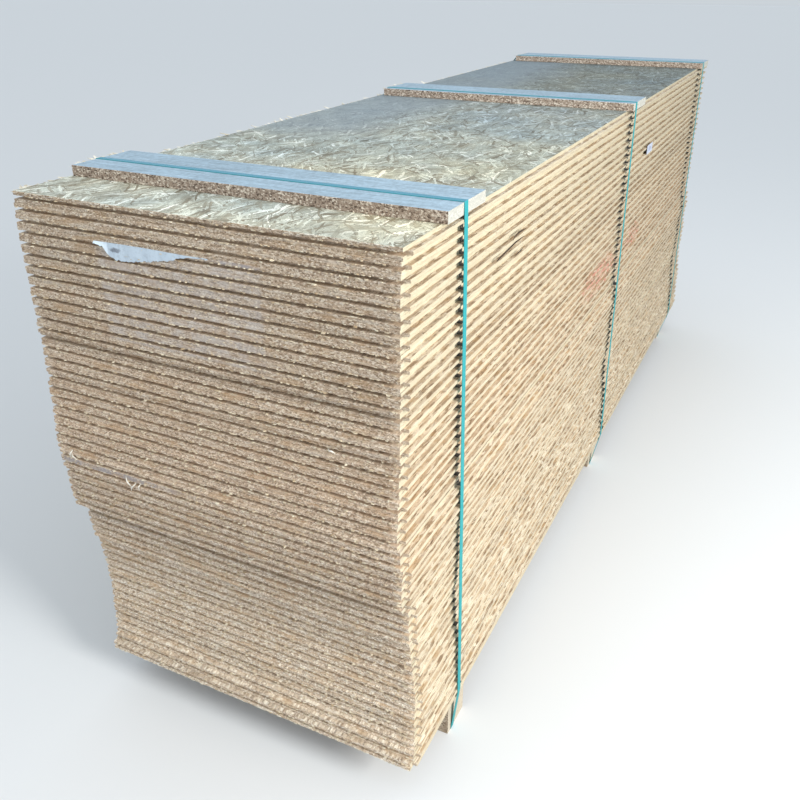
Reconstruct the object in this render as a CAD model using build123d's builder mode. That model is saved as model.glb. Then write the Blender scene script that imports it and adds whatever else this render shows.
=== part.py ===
from build123d import *
import os
import random

# Stack of tongue-and-groove OSB panels on three bearers, with three strips on top and three straps.
# Millimetres. +X is the long side that shows its tongues, -Y the short end that shows its grooves,
# +Z is up. The origin is the middle of the stack's outline on the floor.

os.makedirs("parts", exist_ok=True)

# Panel: width and length are the cover size, so the tongues stand out beyond them
panel_count = 52
panel_length = 2500.0
panel_width = 675.0
panel_thickness = 18.0

# Milled edges: tongues on +X and +Y, grooves on -X and -Y, both half way up the thickness
groove_opening = 6.0
groove_depth = 10.5
tongue_length = 9.5
tongue_play = 0.4
tongue_nose = 1.2
arris = 0.5

# Straps: flat bands pulled tight round the stack, the outer two set in from the ends of the panels
strap_width = 12.5
strap_thickness = 0.9
strap_gap = 0.3
strap_bend = 1.1
front_strap_inset = 195.0
back_strap_inset = 135.0

# Bearers under the stack, a little shorter than a panel with its tongue, with a shallow notch for the strap
bearer_shortfall = 4.5
bearer_width = 76.0
bearer_height = 80.0
notch_side_play = 0.8

# Strips on top, which keep the straps off the panels, a little shorter than a panel with its tongue
strip_shortfall = 6.5
strip_width = 140.0
strip_thickness = 18.0
sawn_edge = 0.8

# At each place: how far behind the front edge of strip and bearer the strap lies,
# and how far strip and bearer lie to +X of the middle of a panel with its tongue
strap_places = ("front", "middle", "back")
strip_lead = (62.0, 28.0, 24.0)
strip_across = (-1.8, 4.2, 6.2)
bearer_lead = (20.0, 26.0, 30.0)
bearer_across = (7.2, -2.8, -8.8)

# How the stack leans and steps: panel number counted from the floor, shift along +X, shift along +Y
sway = (
    (1, 12.5, 9.0),
    (2, 15.5, 15.5),
    (3, 14.5, 21.5),
    (4, 12.0, 26.5),
    (6, 10.0, 30.5),
    (8, 9.0, 35.0),
    (10, 4.5, 37.0),
    (11, 2.0, 41.0),
    (13, 0.0, 39.0),
    (15, -2.0, 37.0),
    (16, 1.0, 26.0),
    (17, 1.5, 24.5),
    (20, 2.0, 19.0),
    (21, 2.0, 0.0),
    (23, 2.0, -4.5),
    (25, 6.0, -8.5),
    (27, 3.0, -11.0),
    (28, -4.0, -7.0),
    (31, -4.0, -1.0),
    (34, -3.5, 2.0),
    (35, -4.0, 6.0),
    (36, -4.0, 3.5),
    (39, -6.0, 9.5),
    (40, -4.0, 5.0),
    (43, -5.0, 7.0),
    (47, -5.0, 8.0),
    (50, -5.0, 9.5),
    (52, -5.0, 13.5),
)
scatter = 0.8
scatter_seed = 11

tongue_thickness = groove_opening - tongue_play
notch_depth = strap_thickness + 2 * strap_gap
panel_middle = tongue_length / 2
bearer_length = panel_width + tongue_length - bearer_shortfall
strip_length = panel_width + tongue_length - strip_shortfall
strip_middles = [panel_middle + across for across in strip_across]
bearer_middles = [panel_middle + across for across in bearer_across]
strap_spacing = (panel_length - front_strap_inset - back_strap_inset) / (len(strap_places) - 1)
panels_bottom = bearer_height
panels_top = panels_bottom + panel_count * panel_thickness


def shift_of(number):
    """Shift along +X and +Y of one panel, between the two rows of sway that it lies between."""
    below = max((row for row in sway if row[0] <= number), default=sway[0])
    above = min((row for row in sway if row[0] >= number), default=sway[-1])
    span = above[0] - below[0]
    share = (number - below[0]) / span if span else 0.0
    across = below[1] + share * (above[1] - below[1])
    along = below[2] + share * (above[2] - below[2])
    return across, along


def milled_profile(cover):
    """Section from a groove at the low end to a tongue at the high end, cover wide between them."""
    low_end = -cover / 2
    high_end = cover / 2
    shoulder = (panel_thickness - tongue_thickness) / 2
    with BuildSketch() as profile:
        with Locations((low_end, 0)):
            Rectangle(cover + tongue_length, panel_thickness, align=(Align.MIN, Align.MIN))
        with Locations((high_end, 0)):
            Rectangle(tongue_length, shoulder, align=(Align.MIN, Align.MIN), mode=Mode.SUBTRACT)
        with Locations((high_end, panel_thickness)):
            Rectangle(tongue_length, shoulder, align=(Align.MIN, Align.MAX), mode=Mode.SUBTRACT)
        with Locations((low_end, panel_thickness / 2)):
            Rectangle(groove_depth, groove_opening, align=(Align.MIN, Align.CENTER), mode=Mode.SUBTRACT)
        chamfer(profile.vertices().group_by(Axis.X)[-1], length=tongue_nose)
        chamfer(profile.vertices().group_by(Axis.X)[0], length=arris)
    return profile.sketch


def taut_outline(corners):
    """The corners that a tight loop touches, in order round the loop."""
    halves = []
    for ordered in (sorted(corners), sorted(corners, reverse=True)):
        half = []
        for corner in ordered:
            while len(half) > 1 and turn(half[-2], half[-1], corner) <= 0:
                half.pop()
            half.append(corner)
        halves.append(half[:-1])
    return halves[0] + halves[1]


def turn(start, middle, end):
    """Above zero where the way from start by middle to end turns to the left."""
    return (middle[0] - start[0]) * (end[1] - start[1]) - (middle[1] - start[1]) * (end[0] - start[0])


# Places of the panels, with a little chance in each shift
chance = random.Random(scatter_seed)
panel_shifts = []
for number in range(1, panel_count + 1):
    across, along = shift_of(number)
    across += chance.uniform(-scatter, scatter)
    along += chance.uniform(-scatter, scatter)
    panel_shifts.append((across, along))

first_station = front_strap_inset - panel_length / 2
strap_stations = [first_station + place * strap_spacing for place in range(len(strap_places))]


# Corners of the section at each place: strip and bearer ends, panel edges and tongue tips
def section_corners(place):
    strip_left = strip_middles[place] - strip_length / 2
    strip_right = strip_middles[place] + strip_length / 2
    bearer_left = bearer_middles[place] - bearer_length / 2
    bearer_right = bearer_middles[place] + bearer_length / 2
    strip_top = panels_top + strip_thickness
    corners = [(strip_left, strip_top), (strip_right, strip_top)]
    corners += [(bearer_left, notch_depth), (bearer_right, notch_depth)]
    for level, (across, along) in enumerate(panel_shifts):
        underside = panels_bottom + level * panel_thickness
        middle = underside + panel_thickness / 2
        left_edge = across - panel_width / 2
        tongue_tip = across + panel_width / 2 + tongue_length
        corners += [(left_edge, underside), (left_edge, underside + panel_thickness)]
        corners += [(tongue_tip, middle - tongue_thickness / 2), (tongue_tip, middle + tongue_thickness / 2)]
    return corners


# The origin goes to the middle of everything that stands out sideways and lengthways
outlines = [taut_outline(section_corners(place)) for place in range(len(strap_places))]
strap_reach = strap_gap + strap_thickness
left_limit = min(corner[0] for outline in outlines for corner in outline) - strap_reach
right_limit = max(corner[0] for outline in outlines for corner in outline) + strap_reach
front_limit = min(along for across, along in panel_shifts) - panel_length / 2
back_limit = max(along for across, along in panel_shifts) + panel_length / 2 + tongue_length
origin_x = (left_limit + right_limit) / 2
origin_y = (front_limit + back_limit) / 2

# One panel: the form that a cutter leaves along the long edges, cut again along the short edges
cross_profile = milled_profile(panel_width)
lengthways_profile = milled_profile(panel_length)

with BuildPart() as panel_form:
    with BuildSketch(Plane.XZ.offset(panel_length / 2)):
        add(cross_profile)
    extrude(amount=-(panel_length + tongue_length))
    with BuildSketch(Plane.YZ.offset(-panel_width / 2)):
        add(lengthways_profile)
    extrude(amount=panel_width + tongue_length, mode=Mode.INTERSECT)

for level, (across, along) in enumerate(panel_shifts):
    with BuildPart() as panel:
        with Locations((across - origin_x, along - origin_y, panels_bottom + level * panel_thickness)):
            add(panel_form.part)
    panel.part.label = f"panel_{level + 1:02d}"
    export_step(panel.part, f"parts/panel_{level + 1:02d}.step")

# Bearers
for place, name in enumerate(strap_places):
    strap_y = strap_stations[place] - origin_y
    with BuildPart() as bearer:
        with Locations((bearer_middles[place] - origin_x, strap_y - bearer_lead[place], 0)):
            Box(bearer_length, bearer_width, bearer_height, align=(Align.CENTER, Align.MIN, Align.MIN))
        chamfer(bearer.edges().filter_by(Axis.X), length=sawn_edge)
        with Locations((bearer_middles[place] - origin_x, strap_y, 0)):
            Box(
                bearer_length,
                strap_width + 2 * notch_side_play,
                notch_depth,
                align=(Align.CENTER, Align.CENTER, Align.MIN),
                mode=Mode.SUBTRACT,
            )
    bearer.part.label = f"bearer_bottom_{name}"
    export_step(bearer.part, f"parts/bearer_bottom_{name}.step")

# Strips
for place, name in enumerate(strap_places):
    strap_y = strap_stations[place] - origin_y
    with BuildPart() as strip:
        with Locations((strip_middles[place] - origin_x, strap_y - strip_lead[place], panels_top)):
            Box(strip_length, strip_width, strip_thickness, align=(Align.CENTER, Align.MIN, Align.MIN))
        chamfer(strip.edges().filter_by(Axis.X), length=sawn_edge)
    strip.part.label = f"strip_top_{name}"
    export_step(strip.part, f"parts/strip_top_{name}.step")

# Straps: each loop follows the taut outline of the section it goes round
with BuildPart() as straps:
    for place, outline in enumerate(outlines):
        strap_plane = Plane.XZ.offset(origin_y - strap_stations[place])
        loop_points = [(x - origin_x, z) for x, z in outline]
        with BuildSketch(strap_plane, mode=Mode.PRIVATE) as loop:
            with BuildLine():
                Polyline(*loop_points, close=True)
            make_face()
        with BuildSketch(strap_plane) as band:
            offset(loop.sketch_local, amount=strap_reach, kind=Kind.INTERSECTION, mode=Mode.ADD)
            levels = band.vertices().group_by(Axis.Y)
            fillet(levels[0] + levels[-1], radius=strap_bend)
            offset(loop.sketch_local, amount=strap_gap, kind=Kind.INTERSECTION, mode=Mode.SUBTRACT)
        extrude(amount=strap_width / 2, both=True)
straps.part.label = "straps"
export_step(straps.part, "parts/straps.step")
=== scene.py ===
import math

import bpy
import numpy as np
from mathutils import Matrix, Vector


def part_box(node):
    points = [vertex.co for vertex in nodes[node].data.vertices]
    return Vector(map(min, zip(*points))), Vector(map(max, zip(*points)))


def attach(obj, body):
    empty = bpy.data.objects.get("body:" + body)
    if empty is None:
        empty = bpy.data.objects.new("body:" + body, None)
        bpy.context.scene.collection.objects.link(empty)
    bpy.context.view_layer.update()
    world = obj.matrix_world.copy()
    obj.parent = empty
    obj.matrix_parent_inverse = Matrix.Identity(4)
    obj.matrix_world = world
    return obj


# Metres, in the frame of the CAD model: +X is the long side with the tongues, -Y the end with the grooves
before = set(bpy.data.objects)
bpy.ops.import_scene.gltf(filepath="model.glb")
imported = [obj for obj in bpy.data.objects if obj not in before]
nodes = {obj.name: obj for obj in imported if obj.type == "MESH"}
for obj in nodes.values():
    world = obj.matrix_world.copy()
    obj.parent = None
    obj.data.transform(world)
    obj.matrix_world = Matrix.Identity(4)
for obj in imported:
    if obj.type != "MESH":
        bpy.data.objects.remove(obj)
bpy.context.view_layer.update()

PANELS = sorted(name for name in nodes if name.startswith("panel_"))
TOP_PANEL = PANELS[-1]
STRIPS = ["strip_top_front", "strip_top_middle", "strip_top_back"]
BEARERS = ["bearer_bottom_front", "bearer_bottom_middle", "bearer_bottom_back"]

# The panels: where the lowest one lies, and the tongue within the thickness of each
PANELS_BOTTOM = 0.080
THICKNESS = 0.018
TONGUE_OUT = 0.0095
TONGUE_LOW = 0.0062
TONGUE_HIGH = 0.0118

# The same heights as shares of the thickness, from the nearest pressed face
FACE_SHARE = 0.012
GROOVE_WALL_SHARES = (0.328, 0.337)
TONGUE_SHARE = 0.339
SHOULDER_SHARE = 0.342


class Graph:
    """A material and short ways to add nodes to it."""

    def __init__(self, name):
        self.material = bpy.data.materials.new(name)
        self.material.use_nodes = True
        self.tree = self.material.node_tree
        self.tree.nodes.clear()
        self.shader = self.tree.nodes.new("ShaderNodeBsdfPrincipled")
        output = self.tree.nodes.new("ShaderNodeOutputMaterial")
        self.tree.links.new(self.shader.outputs["BSDF"], output.inputs["Surface"])

    def put(self, socket, value):
        if isinstance(value, bpy.types.NodeSocket):
            self.tree.links.new(value, socket)
        elif isinstance(value, (tuple, list)) and socket.type == "RGBA" and len(value) == 3:
            socket.default_value = (*value, 1.0)
        else:
            socket.default_value = value

    def finish_with(self, specular=None, **sockets):
        for name, value in sockets.items():
            self.put(self.shader.inputs[name.replace("_", " ")], value)
        if specular is not None:
            self.shader.inputs["Specular IOR Level"].default_value = specular
        return self.material

    def math(self, operation, first, second=0.0, third=0.0):
        node = self.tree.nodes.new("ShaderNodeMath")
        node.operation = operation
        for socket, value in zip(node.inputs, (first, second, third)):
            self.put(socket, value)
        return node.outputs[0]

    def add(self, first, second):
        return self.math("ADD", first, second)

    def less(self, first, second):
        return self.math("SUBTRACT", first, second)

    def times(self, first, *others):
        result = first
        for other in others:
            result = self.math("MULTIPLY", result, other)
        return result

    def greatest(self, first, *others):
        result = first
        for other in others:
            result = self.math("MAXIMUM", result, other)
        return result

    def stretched(self, vector, factors):
        node = self.tree.nodes.new("ShaderNodeVectorMath")
        node.operation = "MULTIPLY"
        self.put(node.inputs[0], vector)
        self.put(node.inputs[1], factors)
        return node.outputs[0]

    def split(self, vector):
        node = self.tree.nodes.new("ShaderNodeSeparateXYZ")
        self.put(node.inputs[0], vector)
        return node.outputs[0], node.outputs[1], node.outputs[2]

    def join(self, x, y, z):
        node = self.tree.nodes.new("ShaderNodeCombineXYZ")
        for socket, value in zip(node.inputs, (x, y, z)):
            self.put(socket, value)
        return node.outputs[0]

    def coordinate(self, kind="Object"):
        return self.tree.nodes.new("ShaderNodeTexCoord").outputs[kind]

    def noise(self, vector, scale=1.0, detail=2.0, roughness=0.5):
        node = self.tree.nodes.new("ShaderNodeTexNoise")
        self.put(node.inputs["Vector"], vector)
        node.inputs["Scale"].default_value = scale
        node.inputs["Detail"].default_value = detail
        node.inputs["Roughness"].default_value = roughness
        return node.outputs["Fac"]

    def voronoi(self, vector, dimensions="3D"):
        """Distance to the nearest point, and the colour of its cell."""
        node = self.tree.nodes.new("ShaderNodeTexVoronoi")
        node.voronoi_dimensions = dimensions
        self.put(node.inputs["Vector"], vector)
        node.inputs["Scale"].default_value = 1.0
        return node.outputs["Distance"], node.outputs["Color"]

    def between(self, value, low, high, out_low=0.0, out_high=1.0):
        """Goes smoothly from out_low at low to out_high at high."""
        node = self.tree.nodes.new("ShaderNodeMapRange")
        node.interpolation_type = "SMOOTHSTEP"
        for socket, number in zip(node.inputs, (value, low, high, out_low, out_high)):
            self.put(socket, number)
        return node.outputs[0]

    def window(self, value, low, high, soft):
        """One between low and high, falling off softly outside."""
        rise = self.between(value, low - soft, low + soft)
        fall = self.between(value, high - soft, high + soft, 1.0, 0.0)
        return self.times(rise, fall)

    def blot(self, first, second, centre, half_sizes, ragged, limits):
        """One in an ellipse with a ragged rim; limits are where it starts to fade and where it ends."""
        away = 0.0
        for value, middle, half in zip((first, second), centre, half_sizes):
            share = self.times(self.less(value, middle), 1.0 / half)
            away = self.add(away, self.times(share, share))
        return self.between(self.add(away, ragged), *limits, 1.0, 0.0)

    def mix(self, share, first, second, kind="RGBA", blend="MIX"):
        node = self.tree.nodes.new("ShaderNodeMix")
        node.data_type = kind
        node.blend_type = blend
        place = {"FLOAT": 2, "VECTOR": 4, "RGBA": 6}[kind]
        self.put(node.inputs[0], share)
        self.put(node.inputs[place], first)
        self.put(node.inputs[place + 1], second)
        return node.outputs[{"FLOAT": 0, "VECTOR": 1, "RGBA": 2}[kind]]

    def tinted(self, colour, tint):
        return self.mix(1.0, colour, tint, blend="MULTIPLY")

    def shaded(self, colour, shade):
        return self.tinted(colour, self.join(shade, shade, shade))

    def ramp(self, value, stops):
        node = self.tree.nodes.new("ShaderNodeValToRGB")
        elements = node.color_ramp.elements
        while len(elements) < len(stops):
            elements.new(0.5)
        for element, (place, colour) in zip(elements, stops):
            element.position = place
            element.color = (*colour, 1.0)
        self.put(node.inputs[0], value)
        return node.outputs[0]

    def bump(self, height, distance):
        node = self.tree.nodes.new("ShaderNodeBump")
        node.inputs["Strength"].default_value = 1.0
        node.inputs["Distance"].default_value = distance
        self.put(node.inputs["Height"], height)
        return node.outputs[0]


# Strand layers of the pressed faces: angle from +Y in degrees, length and width in metres
STRAND_LAYERS = [
    (-56, 0.052, 0.0056),
    (-31, 0.066, 0.0046),
    (-15, 0.058, 0.0078),
    (-5, 0.074, 0.0042),
    (8, 0.054, 0.0066),
    (22, 0.068, 0.0050),
    (40, 0.050, 0.0044),
    (66, 0.046, 0.0068),
]
STRAND_TONES = [
    (0.00, (0.185, 0.160, 0.115)),
    (0.16, (0.305, 0.290, 0.235)),
    (0.45, (0.395, 0.405, 0.350)),
    (0.76, (0.490, 0.515, 0.465)),
    (0.91, (0.620, 0.645, 0.595)),
    (1.00, (0.780, 0.785, 0.740)),
]

# How far strands wander off their straight run, across and along the panel
STRAND_WARP = (0.05, 0.03)

# Grain along and across one strand
STRAND_GRAIN = (1.8, 11.0)


def strands(graph, x, y, board, layers):
    """Colour and height of flat strands pressed over each other, and the grain along each."""
    warp = graph.less(graph.noise(graph.join(x, y, board), 5.0), 0.5)
    x = graph.add(x, graph.times(warp, STRAND_WARP[0]))
    y = graph.add(y, graph.times(warp, STRAND_WARP[1]))
    best = tone = grain_place = None
    second = 0.0
    for number, (angle, length, width) in enumerate(layers):
        cosine = math.cos(math.radians(angle))
        sine = math.sin(math.radians(angle))
        along = graph.add(graph.times(x, sine / length), graph.times(y, cosine / length))
        across = graph.add(graph.times(x, cosine / width), graph.times(y, -sine / width))

        # Each layer and each board takes its cells from another part of the pattern
        offset = graph.times(board, 1.37 + 0.29 * number)
        place = graph.join(graph.add(along, offset), graph.add(across, 7.7 * number), 0.0)
        distance, cell = graph.voronoi(place, "2D")
        chance, shade, _ = graph.split(cell)
        rank = graph.less(chance, graph.times(distance, 0.42))
        grain = graph.join(
            graph.times(along, STRAND_GRAIN[0]),
            graph.times(across, STRAND_GRAIN[1]),
            graph.times(shade, 31.0),
        )
        if best is None:
            best, tone, grain_place = rank, shade, grain
            continue
        wins = graph.math("GREATER_THAN", rank, best)
        second = graph.greatest(second, graph.math("MINIMUM", rank, best))
        tone = graph.mix(wins, tone, shade, "FLOAT")
        grain_place = graph.mix(wins, grain_place, grain, "VECTOR")
        best = graph.greatest(rank, best)
    grain = graph.noise(grain_place, 1.0, 3.0, 0.6)
    grain_shade = graph.between(grain, 0.32, 0.68, 0.64, 1.26)
    border = graph.between(graph.less(best, second), 0.0, 0.030, 0.52, 1.0)
    colour = graph.shaded(graph.ramp(tone, STRAND_TONES), graph.times(grain_shade, border))
    height = graph.add(graph.times(best, 0.8), graph.times(grain, 0.25))
    return colour, height


# Grains per metre along X, Y and Z: strands lie along Y, so the ends of the panels show them cut across
OSB_GRAIN = (360.0, 55.0, 600.0)
OSB_CRUMB = (700.0, 240.0, 900.0)
CHIP_GRAIN = (330.0, 330.0, 420.0)
CHIP_CRUMB = (560.0, 560.0, 760.0)
FIBRES = (130.0, 14.0, 520.0)


def granules(graph, place, grain, crumb, fibre_share):
    """Level, height and dark voids of a sawn or milled edge: strand ends, fine crumbs, fibres."""
    distance, cell = graph.voronoi(graph.stretched(place, grain))
    shade, chance, _ = graph.split(cell)
    crumbs = graph.noise(graph.stretched(place, crumb), roughness=0.6)
    fibres = graph.noise(graph.stretched(place, FIBRES), roughness=0.6)
    level = graph.add(graph.times(shade, 0.62), graph.times(crumbs, 0.38))
    level = graph.add(level, graph.times(graph.less(fibres, 0.5), fibre_share))
    wide_voids = graph.times(
        graph.between(chance, 0.84, 0.88),
        graph.between(distance, 0.10, 0.40, 1.0, 0.0),
    )
    fine_voids = graph.between(crumbs, 0.27, 0.36, 1.0, 0.0)
    voids = graph.greatest(wide_voids, graph.times(fine_voids, 0.8))
    height = graph.less(level, graph.times(voids, 0.9))
    return level, height, voids


# Boards whose edges carry marks
MARKED_BOARDS = (19, 20, 26, 27, *range(29, 36), *range(41, 50))

# On the front end, along X and Z: where a label was, and its residue
RESIDUE = ((-0.190, 0.108), (0.800, 0.960))
RESIDUE_COLOUR = (0.72, 0.67, 0.64)

# On the front end: height and how soft it ends, run along X and how soft it ends, strength
SCRAPES = (
    ((0.5425, 0.5535, 0.0015), (-0.36, -0.09, 0.06), 1.0),
    ((0.9530, 0.9610, 0.0015), (0.015, 0.105, 0.010), 0.85),
    ((0.408, 0.436, 0.008), (-0.33, -0.16, 0.05), 0.55),
)
SCRAPE_COLOUR = (0.44, 0.42, 0.46)

# Worn red smudges on the long side: middle and half sizes along Y and Z
RED_SMUDGES = (((-0.150, 0.645), (0.185, 0.046)), ((0.220, 0.652), (0.105, 0.036)))
RED = (0.54, 0.15, 0.115)


def edge_marks(graph, place, normal_x, normal_y, colour):
    """What the front end and the long side carry: label residue, scrapes and red smudges."""
    x, y, z = graph.split(place)
    faces_front = graph.between(normal_y, -0.7, -0.5, 1.0, 0.0)
    faces_right = graph.between(normal_x, 0.5, 0.7)
    worn = graph.noise(place, 38.0, 3.0, 0.65)

    residue = graph.times(graph.window(x, *RESIDUE[0], 0.004), graph.window(z, *RESIDUE[1], 0.004))
    residue = graph.times(residue, graph.between(worn, 0.36, 0.62, 0.25, 1.0), faces_front)
    colour = graph.mix(graph.times(residue, 0.50), colour, RESIDUE_COLOUR)

    scrapes = []
    for height, run, strength in SCRAPES:
        scrapes.append(graph.times(graph.window(z, *height), graph.window(x, *run), strength))
    scrape = graph.times(
        graph.greatest(*scrapes),
        faces_front,
        graph.between(worn, 0.40, 0.60, 0.22, 1.0),
    )
    colour = graph.mix(graph.times(scrape, 0.66), colour, SCRAPE_COLOUR)

    ragged = graph.times(graph.less(graph.noise(place, 34.0, 3.0, 0.6), 0.5), 2.8)
    smudges = []
    for centre, half_sizes in RED_SMUDGES:
        smudges.append(graph.blot(y, z, centre, half_sizes, ragged, (0.20, 1.20)))
    broken = graph.between(graph.noise(place, 62.0, 3.0, 0.6), 0.38, 0.60)
    smudge = graph.times(graph.greatest(*smudges), broken, faces_right)
    return graph.mix(graph.times(smudge, 0.80), colour, RED)


# Colours of the edges by the level of the grain: across the strands, and calmer along them
ACROSS_STRANDS = [
    (0.20, (0.33, 0.225, 0.145)),
    (0.40, (0.61, 0.470, 0.335)),
    (0.58, (0.67, 0.530, 0.385)),
    (0.76, (0.90, 0.800, 0.650)),
]
ALONG_STRANDS = [
    (0.14, (0.570, 0.480, 0.335)),
    (0.36, (0.630, 0.540, 0.385)),
    (0.60, (0.650, 0.560, 0.400)),
    (0.84, (0.690, 0.605, 0.445)),
]

# Tints of the ends from the lowest boards up: the lowest are paler and greyer
TINTS_UP_THE_END = [
    (0.00, (1.22, 1.24, 1.28)),
    (0.30, (1.18, 1.18, 1.21)),
    (0.65, (1.10, 1.04, 1.02)),
    (1.00, (0.98, 0.96, 0.96)),
]
NO_TINT = (1.0, 1.0, 1.0)
# Painted light on the shoulders of the long side, and painted shade on the flat sides of the tongues
SHOULDER_PAINTED_LIGHT = (1.02, 1.07, 1.09)
TONGUE_FLAT_PAINTED_SHADE = (0.89, 0.90, 0.89)

# Beside the straps, along Y: where painted shadow of the straps darkens the recesses between the tongues
# of the long side
STRAP_SHADOW_RUNS = ((-1.0683, -1.0563), (0.0290, 0.0550), (1.1160, 1.1440))
STRAP_SHADOW_COLOUR = (0.025, 0.025, 0.025)


def edge_of_osb(graph, place, level, near_face, flat, normal_x, normal_y):
    """Colour and height of the milled edges."""
    x, y, z = graph.split(place)
    grain_level, height, voids = granules(graph, place, OSB_GRAIN, OSB_CRUMB, 0.55)
    patches = graph.noise(graph.stretched(place, (16.0, 30.0, 70.0)), roughness=0.6)
    pale_runs = graph.noise(graph.stretched(place, (15.0, 40.0, 160.0)), detail=1.0)
    on_long_side = graph.between(graph.math("ABSOLUTE", normal_x), 0.5, 0.7)

    across = graph.ramp(grain_level, ACROSS_STRANDS)
    across = graph.mix(graph.between(patches, 0.50, 0.68, 0.0, 0.50), across, (0.58, 0.38, 0.20))
    across = graph.mix(graph.between(pale_runs, 0.55, 0.75, 0.0, 0.40), across, (0.84, 0.76, 0.63))
    along = graph.ramp(grain_level, ALONG_STRANDS)
    along = graph.mix(graph.between(patches, 0.50, 0.74, 0.0, 0.16), along, (0.52, 0.42, 0.265))
    colour = graph.mix(on_long_side, across, along)

    # Each board has its own shade
    own = graph.tree.nodes.new("ShaderNodeTexWhiteNoise")
    own.noise_dimensions = "1D"
    graph.put(own.inputs["W"], graph.math("FLOOR", level))
    colour = graph.shaded(colour, graph.math("MULTIPLY_ADD", own.outputs["Value"], 0.13, 0.935))

    # Painted shade: the long side darkens to the back
    up_the_end = graph.ramp(graph.between(z, 0.10, 0.95), TINTS_UP_THE_END)
    side_painted_shade = graph.between(y, -1.15, 0.20, 1.0, 0.87)
    colour = graph.tinted(colour, graph.mix(on_long_side, up_the_end, graph.join(side_painted_shade, side_painted_shade, side_painted_shade)))

    void_share = graph.mix(on_long_side, 0.86, 0.22, "FLOAT")
    void_colour = graph.mix(on_long_side, (0.19, 0.115, 0.07), (0.30, 0.235, 0.14))
    colour = graph.mix(graph.times(voids, void_share), colour, void_colour)

    # Painted light: the grooves are painted paler, lifting their shade
    groove_wall = graph.times(flat, graph.window(near_face, *GROOVE_WALL_SHARES, 0.003))
    to_groove_side = graph.math("MINIMUM", normal_x, normal_y)
    at_tongue_height = graph.math("GREATER_THAN", near_face, TONGUE_SHARE)
    groove_bottom = graph.times(graph.between(to_groove_side, -0.7, -0.5, 1.0, 0.0), at_tongue_height)
    groove_painted_light = graph.greatest(groove_wall, groove_bottom)
    colour = graph.mix(graph.times(groove_painted_light, 0.30), colour, (0.74, 0.63, 0.49))

    # Painted light lifts the shoulders and painted shade darkens the flat sides of the tongues, and
    # painted shadow of the straps darkens the recesses beside the straps
    faces_right = graph.between(normal_x, 0.5, 0.7)
    shoulder = graph.times(faces_right, graph.math("LESS_THAN", near_face, SHOULDER_SHARE))
    tongue_flat = graph.times(flat, at_tongue_height)
    colour = graph.tinted(colour, graph.mix(shoulder, NO_TINT, SHOULDER_PAINTED_LIGHT))
    colour = graph.tinted(colour, graph.mix(tongue_flat, NO_TINT, TONGUE_FLAT_PAINTED_SHADE))
    # Painted shadow of the straps in the recesses of the long side
    beside_strap = graph.greatest(*[graph.window(y, *run, 0.0012) for run in STRAP_SHADOW_RUNS])
    on_right_half = graph.math("GREATER_THAN", x, 0.30)
    strap_shadow = graph.times(graph.greatest(shoulder, tongue_flat), beside_strap, on_right_half)
    height = graph.times(height, graph.mix(on_long_side, 1.0, 0.5, "FLOAT"))
    return graph.mix(graph.times(strap_shadow, 0.97), colour, STRAP_SHADOW_COLOUR), height


# The top of the stack: tints by a wide mottle, and painted light and shade from the front end to the
# back, palest at the front and darker and bluer to the back
MOTTLE_TINTS = [
    (0.34, (1.14, 1.07, 0.92)),
    (0.50, (0.99, 1.00, 0.98)),
    (0.66, (0.82, 0.91, 1.00)),
]
TOP_PAINTED_LIGHT_AND_SHADE = [
    (0.00, (1.48, 1.41, 1.33)),
    (0.10, (1.17, 1.16, 1.12)),
    (0.42, (0.84, 0.88, 0.94)),
    (0.66, (0.56, 0.61, 0.65)),
    (1.00, (0.42, 0.47, 0.50)),
]
DAMP = (0.250, 0.315, 0.370)


def top_face(graph, x, y, board):
    """The top of the stack: painted light makes it palest at the front end, painted shade and a painted
    sky reflection make it grey to the back, and it is damp to the back on the left.
    """
    colour, height = strands(graph, x, y, board, STRAND_LAYERS)
    mottle = graph.noise(graph.join(x, y, board), 3.2, 3.0, 0.6)
    colour = graph.tinted(colour, graph.ramp(mottle, MOTTLE_TINTS))
    clouds = graph.noise(graph.join(graph.times(x, 1.5), y, board), 15.0, 2.0, 0.6)
    colour = graph.shaded(colour, graph.between(clouds, 0.32, 0.68, 0.82, 1.16))
    # Painted light at the front end, painted shade and painted sky reflection to the back
    colour = graph.tinted(colour, graph.ramp(graph.between(y, -1.28, 1.28), TOP_PAINTED_LIGHT_AND_SHADE))
    edge_of_damp = graph.add(x, graph.times(graph.less(mottle, 0.5), 0.45))
    damp = graph.times(
        graph.between(edge_of_damp, -0.22, -0.02, 1.0, 0.0),
        graph.between(y, -0.74, -0.50),
    )
    return graph.mix(graph.times(damp, 0.66), colour, DAMP), height


def osb_material(name, on_top=False, marked=False):
    """on_top: this board shows its top face; marked: its edges carry residue, scrapes or smudges."""
    graph = Graph(name)
    place = graph.coordinate()
    x, y, z = graph.split(place)
    normal_x, normal_y, normal_z = graph.split(graph.coordinate("Normal"))
    level = graph.times(graph.less(z, PANELS_BOTTOM), 1.0 / THICKNESS)
    near_face = graph.math("PINGPONG", level, 0.5)
    flat = graph.between(graph.math("ABSOLUTE", normal_z), 0.80, 0.90)
    pressed = graph.times(flat, graph.math("LESS_THAN", near_face, FACE_SHARE))
    board = graph.math("FLOOR", graph.add(level, 0.25))
    edge_colour, height = edge_of_osb(graph, place, level, near_face, flat, normal_x, normal_y)
    if marked:
        edge_colour = edge_marks(graph, place, normal_x, normal_y, edge_colour)
    if on_top:
        face_colour, face_height = top_face(graph, x, y, board)
        height = graph.mix(pressed, height, graph.times(face_height, 0.5), "FLOAT")
    else:
        # Dust and crumbs lie on the narrow steps between boards
        face_colour = strands(graph, x, y, board, STRAND_LAYERS[1::3])[0]
        face_colour = graph.mix(0.72, face_colour, edge_colour)
    colour = graph.mix(pressed, edge_colour, face_colour)
    normal = graph.bump(height, 0.0008)
    return graph.finish_with(specular=0.4, Base_Color=colour, Roughness=0.6, Normal=normal)


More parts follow.
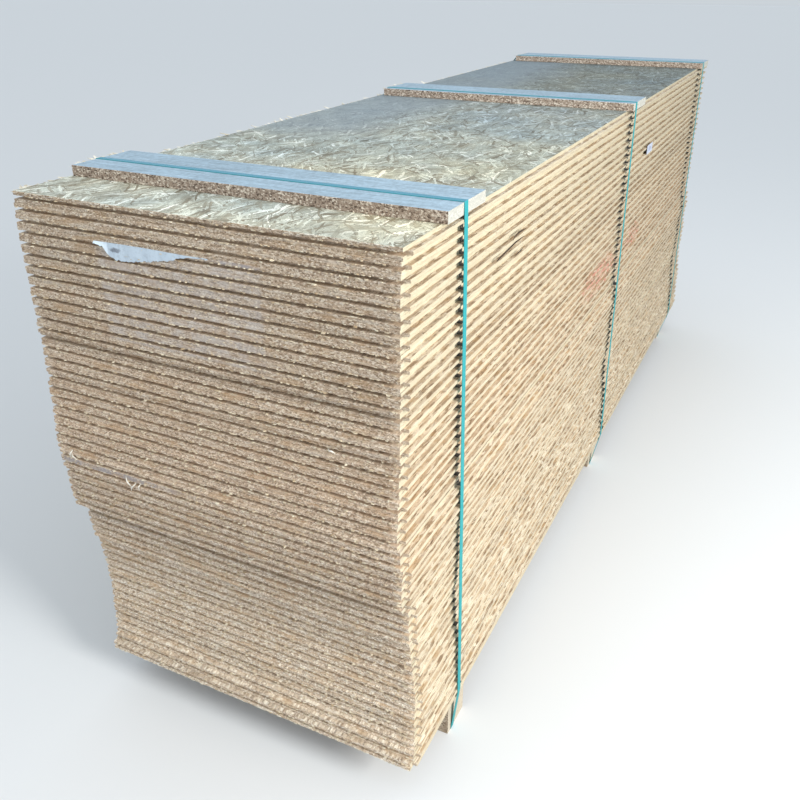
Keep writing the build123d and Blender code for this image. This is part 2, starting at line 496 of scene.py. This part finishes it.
def chipboard_material(name, face, pale, middle, dark, end):
    """Fine chipboard: smooth pressed faces, granular long edges and pale sawn ends."""
    graph = Graph(name)
    place = graph.coordinate()
    normal_x, _, normal_z = graph.split(graph.coordinate("Normal"))
    level, edge_height, voids = granules(graph, place, CHIP_GRAIN, CHIP_CRUMB, 0.9)
    edge_colour = graph.ramp(level, [(0.18, dark), (0.38, middle), (0.60, middle), (0.80, pale)])
    edge_colour = graph.mix(graph.times(voids, 0.7), edge_colour, (0.12, 0.07, 0.04))
    on_end = graph.between(graph.math("ABSOLUTE", normal_x), 0.5, 0.8, 0.0, 0.80)
    edge_colour = graph.mix(on_end, edge_colour, end)
    chips = graph.noise(graph.stretched(place, (160.0, 110.0, 160.0)), 1.0, 3.0, 0.65)
    cloud = graph.noise(place, 7.0, 3.0)
    streaks = graph.noise(graph.stretched(place, (16.0, 210.0, 16.0)), roughness=0.55)
    shade = graph.between(chips, 0.3, 0.7, 0.86, 1.10)
    shade = graph.add(shade, graph.between(cloud, 0.35, 0.65, -0.06, 0.05))
    shade = graph.add(shade, graph.between(streaks, 0.32, 0.68, -0.13, 0.09))
    flat = graph.between(graph.math("ABSOLUTE", normal_z), 0.80, 0.90)
    colour = graph.mix(flat, edge_colour, graph.shaded(face, shade))
    height = graph.mix(flat, edge_height, graph.times(chips, 0.25), "FLOAT")
    normal = graph.bump(height, 0.0010)
    return graph.finish_with(specular=0.3, Base_Color=colour, Roughness=0.75, Normal=normal)


# The straps: radians per metre of the embossed pattern, and the band's colours
EMBOSSING = 1900.0
BAND = (0.016, 0.37, 0.40)
BAND_DUSTY = (0.10, 0.50, 0.53)
BAND_PRESSED = (0.018, 0.28, 0.31)
BAND_PAINTED_SKY_REFLECTION = (0.060, 0.285, 0.430)


def strap_material():
    graph = Graph("strap_plastic")
    place = graph.coordinate()
    x, y, z = graph.split(place)
    run = graph.add(x, z)
    first = graph.math("SINE", graph.times(graph.add(run, y), EMBOSSING))
    second = graph.math("SINE", graph.times(graph.less(run, y), EMBOSSING))
    weave = graph.times(first, second)
    dust = graph.noise(graph.stretched(place, (60.0, 300.0, 60.0)), 1.0, 3.0, 0.6)
    colour = graph.mix(graph.between(dust, 0.40, 0.75, 0.0, 0.25), BAND, BAND_DUSTY)
    colour = graph.mix(graph.between(weave, -0.2, 0.8, 0.0, 0.22), colour, BAND_PRESSED)
    normal_z = graph.split(graph.coordinate("Normal"))[2]
    # Up-facing parts of the band are darker and bluer: a painted sky reflection
    colour = graph.mix(graph.between(normal_z, 0.5, 0.9, 0.0, 0.85), colour, BAND_PAINTED_SKY_REFLECTION)
    return graph.finish_with(Base_Color=colour, Roughness=0.38, Normal=graph.bump(weave, 0.00012))


def toned_material(name, pale, dark):
    """For slivers and scraps: a shade for each, held with the mesh, and a grain."""
    graph = Graph(name)
    tone = graph.tree.nodes.new("ShaderNodeAttribute")
    tone.attribute_name = "tone"
    grain = graph.noise(graph.stretched(graph.coordinate(), (350.0, 350.0, 900.0)), roughness=0.6)
    share = graph.add(tone.outputs["Fac"], graph.between(grain, 0.3, 0.7, -0.15, 0.15))
    colour = graph.ramp(share, [(0.0, dark), (1.0, pale)])
    return graph.finish_with(specular=0.3, Base_Color=colour, Roughness=0.8)


def paper_material(name, paper, blot_colour, across, centre, half_sizes):
    """Plain paper with one soft blot; across is the axis that the paper runs along, 0 or 1."""
    graph = Graph(name)
    place = graph.coordinate()
    axes = graph.split(place)
    ragged = graph.times(graph.less(graph.noise(place, 170.0), 0.5), 2.2)
    blot = graph.blot(axes[across], axes[2], centre, half_sizes, ragged, (0.0, 1.3))
    broken = graph.between(graph.noise(place, 120.0), 0.30, 0.60, 0.75, 1.0)
    colour = graph.mix(graph.times(blot, broken), paper, blot_colour)
    dirt = graph.between(graph.noise(place, 130.0, 3.0, 0.6), 0.45, 0.75, 1.0, 0.82)
    return graph.finish_with(Base_Color=graph.shaded(colour, dirt), Roughness=0.55)


OSB = osb_material("osb")
OSB_MARKED = osb_material("osb_marked", marked=True)
OSB_TOP = osb_material("osb_top", on_top=True)
STRIP = chipboard_material(
    "strip_chipboard",
    # The blue-grey of the pressed faces is a painted sky reflection
    face=(0.395, 0.52, 0.62),
    pale=(0.84, 0.74, 0.62),
    middle=(0.42, 0.32, 0.25),
    dark=(0.13, 0.09, 0.065),
    end=(0.62, 0.63, 0.57),
)
BEARER = chipboard_material(
    "bearer_chipboard",
    face=(0.50, 0.48, 0.43),
    pale=(0.80, 0.70, 0.55),
    middle=(0.52, 0.40, 0.28),
    dark=(0.20, 0.13, 0.08),
    end=(0.68, 0.60, 0.47),
)
STRAP = strap_material()
SLIVER = toned_material("osb_slivers", (0.85, 0.77, 0.60), (0.48, 0.35, 0.21))
PALE_SLIVER = toned_material("pale_slivers", (0.90, 0.87, 0.78), (0.62, 0.55, 0.42))


def paint(node, material):
    node.data.materials.clear()
    node.data.materials.append(material)


for number, name in enumerate(PANELS, 1):
    paint(nodes[name], OSB_MARKED if number in MARKED_BOARDS else OSB)
paint(nodes[TOP_PANEL], OSB_TOP)
for name in STRIPS:
    paint(nodes[name], STRIP)
for name in BEARERS:
    paint(nodes[name], BEARER)
paint(nodes["straps"], STRAP)


def add_piece(name, vertices, faces, material, tones):
    mesh = bpy.data.meshes.new(name)
    mesh.from_pydata([tuple(v) for v in vertices], [], [tuple(f) for f in faces])
    mesh.update()
    attribute = mesh.attributes.new("tone", "FLOAT", "POINT")
    attribute.data.foreach_set("value", np.asarray(tones, dtype=np.float32))
    mesh.materials.append(material)
    piece = bpy.data.objects.new(name, mesh)
    bpy.context.scene.collection.objects.link(piece)
    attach(piece, "root")


BOX_FACES = np.array(
    [(0, 3, 2, 1), (4, 5, 6, 7), (0, 1, 5, 4), (1, 2, 6, 5), (2, 3, 7, 6), (3, 0, 4, 7)]
)
BOX_CORNERS = ((-0.5, -0.5), (0.5, -0.5), (0.5, 0.5), (-0.5, 0.5))

# How deep the slivers start inside the board
SUNK = 0.0006


def slivers(name, roots, side_axis, sign, sizes, material, chance):
    """One mesh of many flat slivers that stand out of an edge, to sign along side_axis.

    roots: where each starts; sizes: how far each stands out, its width along the edge, its thickness.
    """
    count = len(roots)
    out = np.zeros(3)
    out[side_axis] = sign
    side = np.zeros(3)
    side[1 - side_axis] = 1.0
    up = np.array([0.0, 0.0, 1.0])
    reach, width, thick = sizes[:, 0:1], sizes[:, 1:2], sizes[:, 2:3]
    lean = chance.normal(0.0, 0.22, (count, 1))
    skew = chance.normal(0.0, 0.45, (count, 1))
    narrow = chance.uniform(0.15, 0.75, (count, 1))
    base = roots - out * SUNK
    tip = roots + out * reach + up * (reach * lean) + side * (reach * skew)
    corners = []
    for middle, w, t in ((base, width, thick), (tip, width * narrow, thick * 0.45)):
        for s, u in BOX_CORNERS:
            jag = chance.uniform(-0.25, 0.25, (count, 1)) * reach
            corner = middle + side * (w * s) + up * (t * u)
            corners.append(corner + out * jag if middle is tip else corner)
    vertices = np.stack(corners, axis=1).reshape(-1, 3)
    order = BOX_FACES if np.dot(np.cross(side, up), out) > 0 else BOX_FACES[:, ::-1]
    faces = (np.arange(count)[:, None, None] * 8 + order[None]).reshape(-1, 4)
    tones = np.repeat(np.clip(chance.normal(0.55, 0.25, count), 0.0, 1.0), 8)
    add_piece(name, vertices, faces, material, tones)


# Heights in a board where slivers grow: the lips of the groove, the rest of that edge, the shoulders
LIP_HEIGHTS = (0.0060, 0.0120)
GROOVE_EDGE_HEIGHTS = (0.0012, 0.0030, 0.0126, 0.0150, 0.0168)
SHOULDER_HEIGHTS = (0.0012, 0.0028, 0.0048, 0.0132, 0.0152, 0.0168)

# How far slivers on a tongue's tip keep from its upper and lower side
NOSE_INSET = 0.0014


def edge_slivers(name, side_axis, sign, per_board, seed, longest, widest, lips=0.15, thick_lips=False):
    """Slivers along one milled edge of every panel; lips is the share of them on the groove's lips."""
    chance = np.random.default_rng(seed)
    along_axis = 1 - side_axis
    roots, heights = [], []
    for panel in PANELS:
        low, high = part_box(panel)
        root = np.zeros((per_board, 3))
        root[:, along_axis] = chance.uniform(low[along_axis] + 0.002, high[along_axis] - 0.011, per_board)
        if sign < 0:
            root[:, side_axis] = low[side_axis]
            height = chance.choice(GROOVE_EDGE_HEIGHTS, per_board)
            on_lip = chance.random(per_board) < lips
            height = np.where(on_lip, chance.choice(LIP_HEIGHTS, per_board), height)
        else:
            on_tongue = chance.random(per_board) < 0.62
            tip = high[side_axis]
            root[:, side_axis] = np.where(on_tongue, tip, tip - TONGUE_OUT)
            on_nose = chance.uniform(TONGUE_LOW + NOSE_INSET, TONGUE_HIGH - NOSE_INSET, per_board)
            height = np.where(on_tongue, on_nose, chance.choice(SHOULDER_HEIGHTS, per_board))
        root[:, 2] = low[2] + height + chance.uniform(-0.0004, 0.0004, per_board)
        roots.append(root)
        heights.append(height)
    roots = np.concatenate(roots)
    heights = np.concatenate(heights)
    count = len(roots)
    reach = np.clip(chance.gamma(1.6, longest / 6.0, count), 0.0004, longest)
    width = chance.uniform(0.0015, widest, count)
    thick = chance.uniform(0.0003, 0.0007, count)
    if thick_lips:
        on_lip = np.isin(np.round(heights, 4), LIP_HEIGHTS)
        thick = np.where(on_lip, chance.uniform(0.0009, 0.0024, count), thick)
    sizes = np.stack([reach, width, thick], axis=1)
    slivers(name, roots, side_axis, sign, sizes, SLIVER, chance)


edge_slivers("slivers_groove_end", 1, -1, 210, 21, 0.0032, 0.0075, 0.6, thick_lips=True)
edge_slivers("slivers_tongue_end", 1, 1, 75, 22, 0.0045, 0.0080)
edge_slivers("slivers_tongue_side", 0, 1, 270, 23, 0.0014, 0.0042)
edge_slivers("slivers_groove_side", 0, -1, 270, 24, 0.0032, 0.0060)


def fringe(name, side_axis, seed, lines):
    """A pale ragged fringe along edges at the low end of side_axis.

    Each line: the node, the height of the edge, how many slivers, and the longest.
    """
    chance = np.random.default_rng(seed)
    along_axis = 1 - side_axis
    roots, sizes = [], []
    for node, level, count, longest in lines:
        low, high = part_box(node)
        root = np.zeros((count, 3))
        root[:, along_axis] = chance.uniform(low[along_axis] + 0.002, high[along_axis] - 0.012, count)
        root[:, side_axis] = low[side_axis]
        root[:, 2] = level - chance.uniform(0.0003, 0.0022, count)
        reach = np.clip(chance.gamma(1.5, longest / 4.5, count), 0.0006, longest)
        width = chance.uniform(0.002, 0.009, count)
        thick = chance.uniform(0.0004, 0.0010, count)
        roots.append(root)
        sizes.append(np.stack([reach, width, thick], axis=1))
    slivers(name, np.concatenate(roots), side_axis, -1, np.concatenate(sizes), PALE_SLIVER, chance)


panels_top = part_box(TOP_PANEL)[1][2]
strips_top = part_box(STRIPS[0])[1][2]
fringe("fringe_top_left", 0, 31, [(TOP_PANEL, panels_top, 1000, 0.0130)])
fringe("fringe_top_front", 1, 32, [(TOP_PANEL, panels_top, 120, 0.0030)])
strip_ends = [(name, strips_top, 80, 0.0120) for name in STRIPS]
strip_ends += [(name, strips_top - 0.008, 50, 0.0050) for name in STRIPS]
fringe("fringe_strip_ends", 0, 33, strip_ends)
fringe("fringe_bottom_front", 1, 34, [("panel_01", PANELS_BOTTOM + 0.0022, 150, 0.0022)])

# Thickness of paper, strokes and shavings
THIN = 0.0003

# Clear distance between them and the panels they lie on
CLEAR = 0.0004


def ribbons(name, paths, material):
    """Thin bands along paths. Each path: points, at each point the way across, and a tone."""
    vertices, faces, tones = [], [], []
    for points, across, tone in paths:
        points, across = np.asarray(points, float), np.asarray(across, float)
        ahead = np.gradient(points, axis=0)
        normal = np.cross(ahead, across)
        normal /= np.linalg.norm(normal, axis=1, keepdims=True)
        start = len(vertices)
        for point, side, up in zip(points, across, normal * THIN):
            vertices += [point - side / 2, point + side / 2, point + side / 2 + up, point - side / 2 + up]
        for row in range(len(points) - 1):
            a = start + row * 4
            for first, second in ((0, 1), (1, 2), (2, 3), (3, 0)):
                faces.append((a + second, a + first, a + first + 4, a + second + 4))
        end = start + (len(points) - 1) * 4
        faces.append((start, start + 1, start + 2, start + 3))
        faces.append((end + 3, end + 2, end + 1, end))
        tones += [tone] * (len(points) * 4)
    add_piece(name, vertices, faces, material, tones)


def front_of(*numbers):
    """The most forward front edge of these panels."""
    return min(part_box(f"panel_{number:02d}")[0][1] for number in numbers)


def right_of(*numbers):
    """The tongue tip of these panels that stands out furthest on the long side."""
    return max(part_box(f"panel_{number:02d}")[1][0] for number in numbers)


# The torn label on the front end: straight top edge, ragged lower edge, curled up at its left end
LABEL_POINTS = 80
LABEL_LEFT = -0.1850
LABEL_RIGHT = 0.0225
LABEL_TOP = (
    (LABEL_LEFT, 0.9618),
    (-0.1672, 0.9606),
    (-0.0916, 0.9614),
    (-0.0149, 0.9604),
    (LABEL_RIGHT, 0.9612),
)
LABEL_LOW = (
    (LABEL_LEFT, 0.9592),
    (-0.1716, 0.9538),
    (-0.1652, 0.9422),
    (-0.1518, 0.9347),
    (-0.1252, 0.9352),
    (-0.0838, 0.9421),
    (-0.0493, 0.9480),
    (-0.0320, 0.9540),
    (-0.0041, 0.9585),
    (LABEL_RIGHT, 0.9600),
)
LABEL_WAVES = 95.0
LABEL_CLEAR = 0.0006
label_chance = np.random.default_rng(41)
label_x = np.linspace(LABEL_LEFT, LABEL_RIGHT, LABEL_POINTS)
label_top = np.interp(label_x, *zip(*LABEL_TOP))
label_low = np.interp(label_x, *zip(*LABEL_LOW))
label_low += label_chance.normal(0.0, 0.0008, LABEL_POINTS)
label_y = front_of(48, 49, 50) - LABEL_CLEAR - 0.0005 * np.abs(np.sin(label_x * LABEL_WAVES))
label_y -= np.interp(label_x, (LABEL_LEFT, -0.1640), (0.0060, 0.0))
label_turn = np.interp(label_x, (LABEL_LEFT, -0.1660), (0.003, 0.0))
label_middle = np.stack([label_x, label_y, (label_top + label_low) / 2], axis=1)
label_across = np.stack([np.zeros(LABEL_POINTS), label_turn, label_top - label_low], axis=1)
LABEL = paper_material(
    "label_paper",
    paper=(0.72, 0.84, 0.95),
    blot_colour=(0.26, 0.29, 0.34),
    across=0,
    centre=(-0.149, 0.9505),
    half_sizes=(0.012, 0.0040),
)
ribbons("torn_label", [(label_middle, label_across, 0.9)], LABEL)

# The small sticker on the long side, flat over the tongues; its paper is painted darker and bluer as
# shade
STICKER_POINTS = 20
STICKER_Z = 0.877
STICKER_HEIGHT = 0.024
STICKER = paper_material(
    "sticker_paper",
    paper=(0.55, 0.60, 0.72),
    blot_colour=(0.36, 0.40, 0.52),
    across=1,
    centre=(0.300, STICKER_Z),
    half_sizes=(0.026, 0.007),
)
sticker_y = np.linspace(0.262, 0.338, STICKER_POINTS)
sticker_x = right_of(44, 45) + CLEAR + 0.0008 * np.sin(sticker_y * 140.0) ** 2
sticker_middle = np.stack([sticker_x, sticker_y, np.full(STICKER_POINTS, STICKER_Z)], axis=1)
sticker_across = np.tile((0.0, 0.0, STICKER_HEIGHT), (STICKER_POINTS, 1))
ribbons("side_sticker", [(sticker_middle, sticker_across, 0.9)], STICKER)

# Dark thin strokes over the tongues of the long side: points Y, Z and the width at each
STROKES = (
    (
        (-0.9340, 0.9062, 0.0008),
        (-0.9250, 0.9076, 0.0030),
        (-0.9080, 0.9093, 0.0034),
        (-0.8764, 0.9116, 0.0036),
        (-0.8450, 0.9138, 0.0030),
        (-0.8200, 0.9134, 0.0022),
        (-0.8000, 0.9130, 0.0008),
    ),
    (
        (-0.8590, 0.9200, 0.0008),
        (-0.8530, 0.9240, 0.0022),
        (-0.8460, 0.9262, 0.0028),
        (-0.8200, 0.9264, 0.0030),
        (-0.7900, 0.9244, 0.0008),
    ),
    (
        (-0.8450, 0.8900, 0.0006),
        (-0.8300, 0.8903, 0.0020),
        (-0.8120, 0.8909, 0.0028),
        (-0.8020, 0.8914, 0.0008),
    ),
)
STROKE = toned_material("dark_strokes", (0.070, 0.045, 0.030), (0.035, 0.024, 0.017))
stroke_x = right_of(46, 47, 48) + CLEAR
strokes = []
for points in STROKES:
    run = [(stroke_x, y, z) for y, z, width in points]
    strokes.append((run, [(0.0, 0.0, width) for y, z, width in points], 0.5))
ribbons("dark_strokes", strokes, STROKE)

# Loose shavings that hang on the front end: middle X and Z, length, and lean in radians
SHAVINGS = (
    (-0.314, 0.564, 0.022, 1.2),
    (-0.309, 0.560, 0.016, 2.2),
    (-0.187, 0.541, 0.024, 2.0),
    (-0.178, 0.534, 0.026, 1.0),
    (-0.163, 0.538, 0.018, 1.3),
    (0.052, 0.455, 0.014, 0.4),
    (0.214, 0.702, 0.013, 2.6),
)
turn = np.linspace(0.0, 1.0, 9)
bow = np.sin(turn * math.pi)
curl_chance = np.random.default_rng(42)
shavings = []
for x, z, length, lean in SHAVINGS:
    level = int((z - PANELS_BOTTOM) / THICKNESS) + 1
    run = np.stack(
        [
            x + math.cos(lean) * length * (turn - 0.5),
            front_of(level, level + 1) - CLEAR - 0.0035 * bow,
            z + math.sin(lean) * length * (turn - 0.5) + 0.002 * np.sin(turn * 5.0),
        ],
        axis=1,
    )
    width = 0.0016 * (0.4 + bow)[:, None]
    across = width * np.array((-math.sin(lean), -0.5, math.cos(lean)))
    shavings.append((run, across, curl_chance.uniform(0.7, 1.0)))

# The loose loop at the lower left of the front end
LOOP_POINTS = 25
angle = np.linspace(0.3, 2 * math.pi - 0.3, LOOP_POINTS)
loop_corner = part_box("panel_07")[0]
loop_run = np.stack(
    [
        loop_corner[0] - 0.0035 + 0.0060 * np.cos(angle),
        loop_corner[1] + 0.030 + 0.002 * np.sin(angle),
        0.194 + 0.0150 * np.sin(angle),
    ],
    axis=1,
)
shavings.append((loop_run, np.tile((0.0, 0.0022, 0.0), (LOOP_POINTS, 1)), 0.95))
ribbons("loose_shavings", shavings, PALE_SLIVER)

# The floor, with the colour that lights the object and the paler one that the camera sees
FLOOR_HALF = 40
FLOOR_LIT = (0.42, 0.42, 0.43)
FLOOR_SEEN = (0.80, 0.81, 0.82)
floor_mesh = bpy.data.meshes.new("floor")
floor_corners = [
    (-FLOOR_HALF, -FLOOR_HALF, 0),
    (FLOOR_HALF, -FLOOR_HALF, 0),
    (FLOOR_HALF, FLOOR_HALF, 0),
    (-FLOOR_HALF, FLOOR_HALF, 0),
]
floor_mesh.from_pydata(floor_corners, [], [(0, 1, 2, 3)])
floor = bpy.data.objects.new("floor", floor_mesh)
bpy.context.scene.collection.objects.link(floor)
floor_graph = Graph("floor")
seen = floor_graph.tree.nodes.new("ShaderNodeLightPath").outputs["Is Camera Ray"]
floor_colour = floor_graph.mix(seen, FLOOR_LIT, FLOOR_SEEN)
floor_graph.finish_with(specular=0.1, Base_Color=floor_colour, Roughness=0.9)
floor_mesh.materials.append(floor_graph.material)

# The world, with the colour that lights the object and the one that the camera sees
SKY_LIT = (0.74, 0.80, 0.85, 1.0)
SKY_SEEN = (0.60, 0.65, 0.69, 1.0)
world = bpy.data.worlds.new("studio")
bpy.context.scene.world = world
world.use_nodes = True
sky = world.node_tree.nodes["Background"]
sky.inputs["Strength"].default_value = 1.0
seen = world.node_tree.nodes.new("ShaderNodeLightPath").outputs["Is Camera Ray"]
sky_colour = world.node_tree.nodes.new("ShaderNodeMix")
sky_colour.data_type = "RGBA"
sky_colour.inputs[6].default_value = SKY_LIT
sky_colour.inputs[7].default_value = SKY_SEEN
world.node_tree.links.new(seen, sky_colour.inputs[0])
world.node_tree.links.new(sky_colour.outputs[2], sky.inputs["Color"])

# The key light, from the right and above
KEY_PLACE = Vector((3.5, -1.75, 2.05))
KEY_TARGET = Vector((0.34, -0.5, 0.5))
light = bpy.data.lights.new("key", "AREA")
light.shape = "RECTANGLE"
light.size = 1.2
light.size_y = 1.2
light.energy = 150.0
light.color = (1.0, 0.99, 0.95)
lamp = bpy.data.objects.new("key", light)
bpy.context.scene.collection.objects.link(lamp)
lamp.location = KEY_PLACE
lamp.rotation_euler = (KEY_TARGET - KEY_PLACE).to_track_quat("-Z", "Y").to_euler()

# The camera: where it stood for the photo
CAMERA_RIGHT = (0.896906590, 0.442219569, -0.000650065)
CAMERA_UP = (-0.20384844, 0.41474757, 0.88680903)
CAMERA_BACK = (0.39243392, -0.79525235, 0.4621356)
CAMERA_PLACE = (0.756167, -2.140738, 1.318200)
camera_data = bpy.data.cameras.new("camera")
camera_data.sensor_width = 36.0
camera_data.lens = 37.04
camera_data.clip_end = 200.0
camera = bpy.data.objects.new("camera", camera_data)
bpy.context.scene.collection.objects.link(camera)
columns = (CAMERA_RIGHT, CAMERA_UP, CAMERA_BACK, CAMERA_PLACE)
camera.matrix_world = Matrix((*zip(*columns), (0.0, 0.0, 0.0, 1.0)))
bpy.context.scene.camera = camera
bpy.context.scene.view_settings.view_transform = "Standard"
